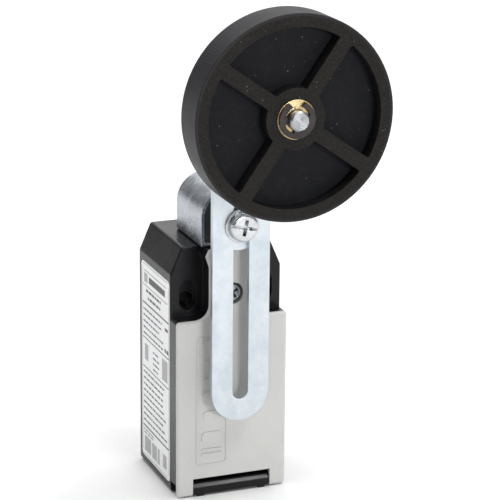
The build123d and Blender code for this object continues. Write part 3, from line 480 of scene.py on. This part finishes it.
def rounded_outline(centre, half_width, half_height, corner, steps=5):
    """Points of a rounded rectangle, in millimetres, counter-clockwise."""
    points = []
    for quarter, (sx, sz) in enumerate(((1, 1), (-1, 1), (-1, -1), (1, -1))):
        for step in range(steps + 1):
            angle = math.radians(90 * quarter + 90 * step / steps)
            points.append((
                centre[0] + sx * (half_width - corner) + corner * math.cos(angle),
                centre[1] + sz * (half_height - corner) + corner * math.sin(angle),
            ))
    return points


# Print on the label: plain rules, dashes and fields, which say nothing.
# Distances are in mm, from the label's front edge (back, front) and from its foot (low, high).
LABEL_LOW, LABEL_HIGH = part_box("side_label")
LABEL_TALL = (LABEL_HIGH.z - LABEL_LOW.z) / MM
LABEL_WIDE = (LABEL_HIGH.y - LABEL_LOW.y) / MM
PRINT_THICK = 0.02
PRINT_INSET = 0.01
BORDER_INSET = 0.55
BORDER_LINE = 0.12
BORDER_CORNER = 1.6
SHORTEST_DASH, LONGEST_DASH = 0.7, 2.6
SHORTEST_GAP, LONGEST_GAP = 0.35, 0.6
LEAST_ROOM = 0.6
RULES = (  # height, thickness, back, front
    (54.1, 0.16, 20.9, 2.4), (49.9, 0.16, 21.6, 1.6), (44.8, 0.45, 21.7, 0.7),
    (34.8, 0.3, 21.7, 0.7), (26.4, 0.3, 21.7, 0.7), (9.1, 0.45, 21.7, 0.7),
)
TITLE_BAR = (16.6, 3.6, 51.2, 53.0)
FIELDS = (  # back, front, low, high
    (20.6, 17.8, 50.8, 53.4), (6.0, 1.6, 27.6, 33.6), (20.2, 17.4, 28.6, 33.2),
    (20.6, 15.4, 1.8, 6.2), (14.4, 10.6, 1.8, 6.2), (9.8, 8.2, 1.8, 6.2), (5.4, 2.5, 2.6, 6.4),
)


def label_mark(mesh, back, front, low, high):
    """One printed bar."""
    add_box(
        mesh,
        (LABEL_LOW.x - PRINT_THICK * MM, LABEL_LOW.y + front * MM, LABEL_LOW.z + low * MM),
        (LABEL_LOW.x + PRINT_INSET * MM, LABEL_LOW.y + back * MM, LABEL_LOW.z + high * MM),
    )


def dashes(mesh, back, front, middle, tall, rng):
    """A row of dashes of uneven length, from the back towards the front."""
    at = back
    while at - LEAST_ROOM > front:
        length = min(rng.uniform(SHORTEST_DASH, LONGEST_DASH), at - front)
        label_mark(mesh, at, at - length, middle - tall / 2, middle + tall / 2)
        at -= length + rng.uniform(SHORTEST_GAP, LONGEST_GAP)


def dash_rows(count, back, front, top, pitch, tall, ragged=0.0):
    """Rows of dashes from the top down, with front ends that may be ragged."""
    for row in range(count):
        end = front + rng.uniform(0, ragged) if ragged else front
        dashes(dark, back, end, top - pitch * row, tall, rng)


rng = random.Random(11)
dark, light = bmesh.new(), bmesh.new()
for height, thick, back, front in RULES:
    label_mark(dark, back, front, height - thick / 2, height + thick / 2)
for edge in (BORDER_INSET, LABEL_WIDE - BORDER_INSET - BORDER_LINE):
    label_mark(dark, edge + BORDER_LINE, edge, BORDER_CORNER, LABEL_TALL - BORDER_CORNER)
for edge in (BORDER_INSET, LABEL_TALL - BORDER_INSET - BORDER_LINE):
    label_mark(dark, LABEL_WIDE - BORDER_CORNER, BORDER_CORNER, edge, edge + BORDER_LINE)
label_mark(dark, *TITLE_BAR)
dash_rows(1, 19.0, 6.0, top=48.6, pitch=0, tall=0.75)
dash_rows(1, 17.6, 7.4, top=48.6 - 1.9, pitch=0, tall=0.75)
dash_rows(5, 21.2, 4.6, top=43.0, pitch=1.72, tall=0.5, ragged=3.0)
dash_rows(1, 3.6, 1.0, top=42.4, pitch=0, tall=0.9)
dash_rows(1, 3.9, 0.9, top=36.4, pitch=0, tall=1.1)
dash_rows(4, 13.4, 8.4, top=32.6, pitch=1.6, tall=0.45)
dash_rows(9, 21.2, 1.2, top=24.9, pitch=1.76, tall=0.5, ragged=4.0)
dash_rows(2, 21.0, 13.0, top=8.0, pitch=0.9, tall=0.3)
for field in FIELDS:
    label_mark(light, *field)
piece("label_print", dark, "housing", INK)
piece("label_fields", light, "housing", INK_LIGHT)

# Raised plain pads inside the frame on the cover
COVER_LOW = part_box("front_cover")[0]
FRAME_RAISE = 0.2
COVER_FACE = COVER_LOW.y + FRAME_RAISE * MM
FRAME_X = -5.8
PAD_PROUD = 0.25
PAD_SINK = 0.3
PAD_CORNER = 1.3
PAD_CORNER_SHARE = 0.9
PADS = (  # height above the cover's foot, half width, half height
    (41.4, 2.5, 2.3), (36.3, 2.5, 1.9), (31.8, 2.5, 1.4), (27.4, 2.5, 1.9), (22.6, 2.5, 1.3),
    (16.4, 2.9, 1.6), (12.9, 2.9, 0.35), (11.6, 2.9, 0.35),
)
pads = bmesh.new()
for height, half_width, half_height in PADS:
    corner = min(half_height, PAD_CORNER) * PAD_CORNER_SHARE
    outline = rounded_outline((FRAME_X, height), half_width, half_height, corner)
    add_prism(
        pads,
        [(x * MM, COVER_FACE + PAD_SINK * MM, COVER_LOW.z + z * MM) for x, z in outline],
        (0, -(PAD_PROUD + PAD_SINK) * MM, 0),
    )
piece("cover_pads", pads, "housing", FINISHES["cover_plastic"], 0.12)

# Thread in the cable entry: one helical ridge, rooted in the modelled wall and standing inward
# from it, so that its crest is narrower than a real thread of this size
ENTRY_RADIUS = 9.19
ENTRY_DEPTH = 15.4
THREAD_PITCH = 1.5
THREAD_TURNS = 4.6
THREAD_START = 1.0
THREAD_STEPS = 72
RUN_OUT_STEPS = 36
RIDGE_INWARD, RIDGE_ROOT = 0.55, 0.15
CREST_HALF, ROOT_HALF = 0.12, 0.55
ridge = bmesh.new()
housing_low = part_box("body_housing")[0]
steps = int(THREAD_TURNS * THREAD_STEPS)
sections = []
for step in range(steps + 1):
    angle = 2 * math.pi * step / THREAD_STEPS
    taper = min(1.0, step / RUN_OUT_STEPS, (steps - step) / RUN_OUT_STEPS)
    rise = THREAD_START + THREAD_PITCH * step / THREAD_STEPS
    crest = RIDGE_INWARD * taper
    section = []
    for inward, up in ((-RIDGE_ROOT, -ROOT_HALF), (crest, -CREST_HALF),
                       (crest, CREST_HALF), (-RIDGE_ROOT, ROOT_HALF)):
        radius = (ENTRY_RADIUS - inward) * MM
        section.append((
            radius * math.cos(angle),
            COVER_FACE + ENTRY_DEPTH * MM + radius * math.sin(angle),
            housing_low.z + (rise + up) * MM,
        ))
    sections.append(section)
add_coil(ridge, sections)
piece("entry_thread", ridge, "housing", FINISHES["housing_plastic"])

# Plunger spring with closed end coils. It stands on the chamber floor and closes up under the
# plunger.
SPRING_LOW, SPRING_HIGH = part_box("plunger_spring")
SPRING_TURNS = 5.4
SPRING_CLOSED = 0.6
WIRE_RADIUS = 0.22 * MM
WIRE_SIDES = 8
STEPS_PER_TURN = 28
coil_x, coil_y = (SPRING_LOW.x + SPRING_HIGH.x) / 2, (SPRING_LOW.y + SPRING_HIGH.y) / 2
coil_radius = (SPRING_HIGH.x - SPRING_LOW.x) / 2 - WIRE_RADIUS
coil_rise = SPRING_HIGH.z - SPRING_LOW.z - 2 * WIRE_RADIUS
coil = bmesh.new()
sections = []
for step in range(int(SPRING_TURNS * STEPS_PER_TURN) + 1):
    turn = step / STEPS_PER_TURN
    climbed = (turn - SPRING_CLOSED) / (SPRING_TURNS - 2 * SPRING_CLOSED)
    middle_z = SPRING_LOW.z + WIRE_RADIUS + coil_rise * min(1.0, max(0.0, climbed))
    section = []
    for side in range(WIRE_SIDES):
        around = 2 * math.pi * side / WIRE_SIDES
        out = coil_radius + WIRE_RADIUS * math.cos(around)
        section.append((
            coil_x + out * math.cos(2 * math.pi * turn),
            coil_y + out * math.sin(2 * math.pi * turn),
            middle_z + WIRE_RADIUS * math.sin(around),
        ))
    sections.append(section)
add_coil(coil, sections)
spring = piece("spring_coils", coil, "housing", FINISHES["spring_steel"])
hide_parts("plunger_spring")
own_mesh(spring)


# ------------------------------------------------------- floor, light, camera

FLOOR = CAD_BOUNDS[0][2]
FLOOR_HALF = 4.0
floor_mesh = bmesh.new()
for x, y in ((-1, -1), (1, -1), (1, 1), (-1, 1)):
    floor_mesh.verts.new((x * FLOOR_HALF, y * FLOOR_HALF, FLOOR))
floor_mesh.faces.new(floor_mesh.verts)
floor_data = bpy.data.meshes.new("floor")
floor_mesh.to_mesh(floor_data)
floor_mesh.free()
floor = bpy.data.objects.new("floor", floor_data)
floor.data.materials.append(ground("floor_pale"))
bpy.context.scene.collection.objects.link(floor)

# World: light that grows from the horizon up and from the front back, and a white backdrop that
# only the camera sees
WHITE = (1.0, 1.0, 1.0, 1.0)
UPWARD = {"From Min": 0.1, "From Max": 0.5, "To Min": 0.2, "To Max": 0.68}
BACKWARD = {"From Min": -0.7, "From Max": 0.3, "To Min": 0.4, "To Max": 1.0}
world = bpy.data.worlds.new("studio")
bpy.context.scene.world = world
world.use_nodes = True
sky = world.node_tree
direction = sky.nodes.new("ShaderNodeSeparateXYZ")
sky.links.new(sky.nodes.new("ShaderNodeTexCoord").outputs["Generated"], direction.inputs[0])
strength = sky.nodes.new("ShaderNodeMath")
strength.operation = "MULTIPLY"
for factor, (letter, ramp) in enumerate((("Z", UPWARD), ("Y", BACKWARD))):
    grow = sky.nodes.new("ShaderNodeMapRange")
    for socket, value in ramp.items():
        grow.inputs[socket].default_value = value
    sky.links.new(direction.outputs[letter], grow.inputs["Value"])
    sky.links.new(grow.outputs[0], strength.inputs[factor])
background = sky.nodes["Background"]
background.inputs["Color"].default_value = WHITE
sky.links.new(strength.outputs[0], background.inputs["Strength"])
backdrop = sky.nodes.new("ShaderNodeBackground")
backdrop.inputs["Color"].default_value = WHITE
choose = sky.nodes.new("ShaderNodeMixShader")
sky.links.new(sky.nodes.new("ShaderNodeLightPath").outputs["Is Camera Ray"], choose.inputs[0])
sky.links.new(background.outputs[0], choose.inputs[1])
sky.links.new(backdrop.outputs[0], choose.inputs[2])
sky.links.new(choose.outputs[0], sky.nodes["World Output"].inputs["Surface"])


def lamp(name, data, place, target):
    """Puts a light in place, turned towards a point."""
    made = bpy.data.objects.new(name, data)
    made.location = place
    made.rotation_euler = (Vector(target) - Vector(place)).to_track_quat("-Z", "Y").to_euler()
    bpy.context.scene.collection.objects.link(made)


LIGHT_TARGET = (0.0, -0.04, 0.03)


def softbox(name, place, width, height, power):
    """An area light that looks at the object."""
    data = bpy.data.lights.new(name, "AREA")
    data.shape = "RECTANGLE"
    data.size, data.size_y = width, height
    data.energy = power
    lamp(name, data, place, LIGHT_TARGET)


softbox("key", place=(0.15, -1.26, 0.26), width=0.26, height=0.26, power=5.6)
softbox("top", place=(0.40, -0.46, 1.02), width=0.28, height=0.28, power=4.2)
softbox("rear_sheet", place=(0.42, 1.15, 0.42), width=1.0, height=0.5, power=1.6)
ceiling = bpy.data.lights.new("ceiling", "SUN")
ceiling.energy = 1.9
ceiling.angle = math.radians(80)
lamp("ceiling", ceiling, place=(0.0, 0.3, 2.0), target=(0.0, 0.0, 0.0))

CAMERA_PLACE = (-0.190633, -0.526611, 0.176035)
CAMERA_DEGREES = (73.0931, -0.5462, -21.3316)
camera_data = bpy.data.cameras.new("camera")
camera_data.sensor_width = 36.0
camera_data.lens = 153.80
camera = bpy.data.objects.new("camera", camera_data)
camera.location = CAMERA_PLACE
camera.rotation_euler = tuple(math.radians(a) for a in CAMERA_DEGREES)
bpy.context.scene.collection.objects.link(camera)
bpy.context.scene.camera = camera
bpy.context.scene.view_settings.view_transform = "Standard"
